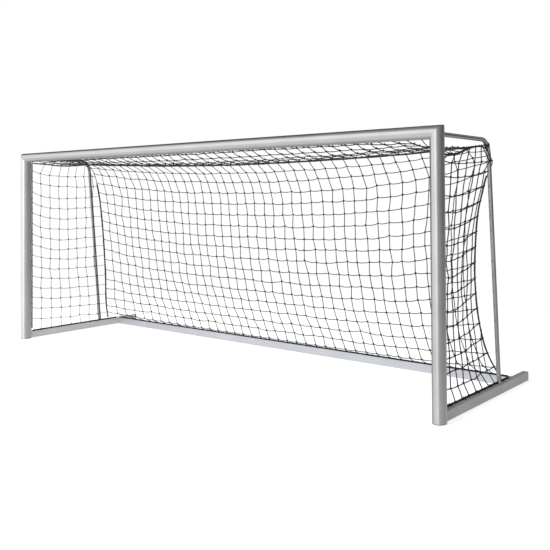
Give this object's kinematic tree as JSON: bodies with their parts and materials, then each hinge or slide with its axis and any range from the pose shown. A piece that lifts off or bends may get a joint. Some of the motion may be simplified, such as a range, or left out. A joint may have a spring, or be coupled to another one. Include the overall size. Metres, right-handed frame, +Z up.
{
  "type": "soccer goal frame",
  "caption": "Free-standing youth soccer goal: oval aluminium posts and crossbar, rectangular ground frame, bent net hoops, plastic net hooks and a knotted square-mesh net.",
  "frame": {"origin": "On the ground at the centre of the goal's rectangular footprint, from the posts' front faces to the ground bars' end caps.", "axes": "+X runs along the crossbar, to the right as seen by a player who faces the goal; +Y runs from the pitch through the mouth into the net; +Z is up."},
  "size_m": [5.2, 1.68, 2.1],
  "materials": {
    "profile_aluminium": "satin",
    "ground_bar_aluminium": "satin",
    "hoop_aluminium": "satin",
    "cast_aluminium": "matte",
    "rivet_aluminium": "satin",
    "steel_fastener": "satin",
    "cap_plastic": "matte",
    "hook_plastic": "matte",
    "net_cord": "matte",
    "border_rope": "matte",
    "tie_cord": "matte"
  },
  "bodies": {
    "root": {"crossbar": "profile_aluminium", "crossbar_net_hooks": "hook_plastic", "left_corner_bolts": "steel_fastener", "left_corner_casting": "cast_aluminium", "left_foot_bolts": "steel_fastener", "left_foot_casting": "cast_aluminium", "left_ground_bar": "ground_bar_aluminium", "left_ground_bar_end_cap": "cap_plastic", "left_ground_bar_hook_rivets": "rivet_aluminium", "left_ground_bar_net_hooks": "hook_plastic", "left_hoop_foot_spigot": "cast_aluminium", "left_hoop_lashing": "tie_cord", "left_hoop_screws": "steel_fastener", "left_hoop_spigot_bolts": "steel_fastener", "left_hoop_top_spigot": "cast_aluminium", "left_net_hoop": "hoop_aluminium", "left_post": "profile_aluminium", "left_post_foot_cap": "cap_plastic", "left_post_net_hooks": "hook_plastic", "left_rear_corner_casting": "cast_aluminium", "left_rear_corner_screws": "steel_fastener", "net_back": "net_cord", "net_front_rope": "border_rope", "net_left_corner_rope": "border_rope", "net_left_ground_rope": "border_rope", "net_left_side": "net_cord", "net_left_side_rope": "border_rope", "net_rear_ground_rope": "border_rope", "net_rear_top_rope": "border_rope", "net_right_corner_rope": "border_rope", "net_right_ground_rope": "border_rope", "net_right_side": "net_cord", "net_right_side_rope": "border_rope", "net_top": "net_cord", "rear_bar_hook_rivets": "rivet_aluminium", "rear_bar_net_hooks": "hook_plastic", "rear_ground_bar": "ground_bar_aluminium", "right_corner_bolts": "steel_fastener", "right_corner_casting": "cast_aluminium", "right_foot_bolts": "steel_fastener", "right_foot_casting": "cast_aluminium", "right_ground_bar": "ground_bar_aluminium", "right_ground_bar_end_cap": "cap_plastic", "right_ground_bar_hook_rivets": "rivet_aluminium", "right_ground_bar_net_hooks": "hook_plastic", "right_hoop_foot_spigot": "cast_aluminium", "right_hoop_lashing": "tie_cord", "right_hoop_screws": "steel_fastener", "right_hoop_spigot_bolts": "steel_fastener", "right_hoop_top_spigot": "cast_aluminium", "right_net_hoop": "hoop_aluminium", "right_post": "profile_aluminium", "right_post_foot_cap": "cap_plastic", "right_post_net_hooks": "hook_plastic", "right_rear_corner_casting": "cast_aluminium", "right_rear_corner_screws": "steel_fastener"}
  },
  "joints": []
}
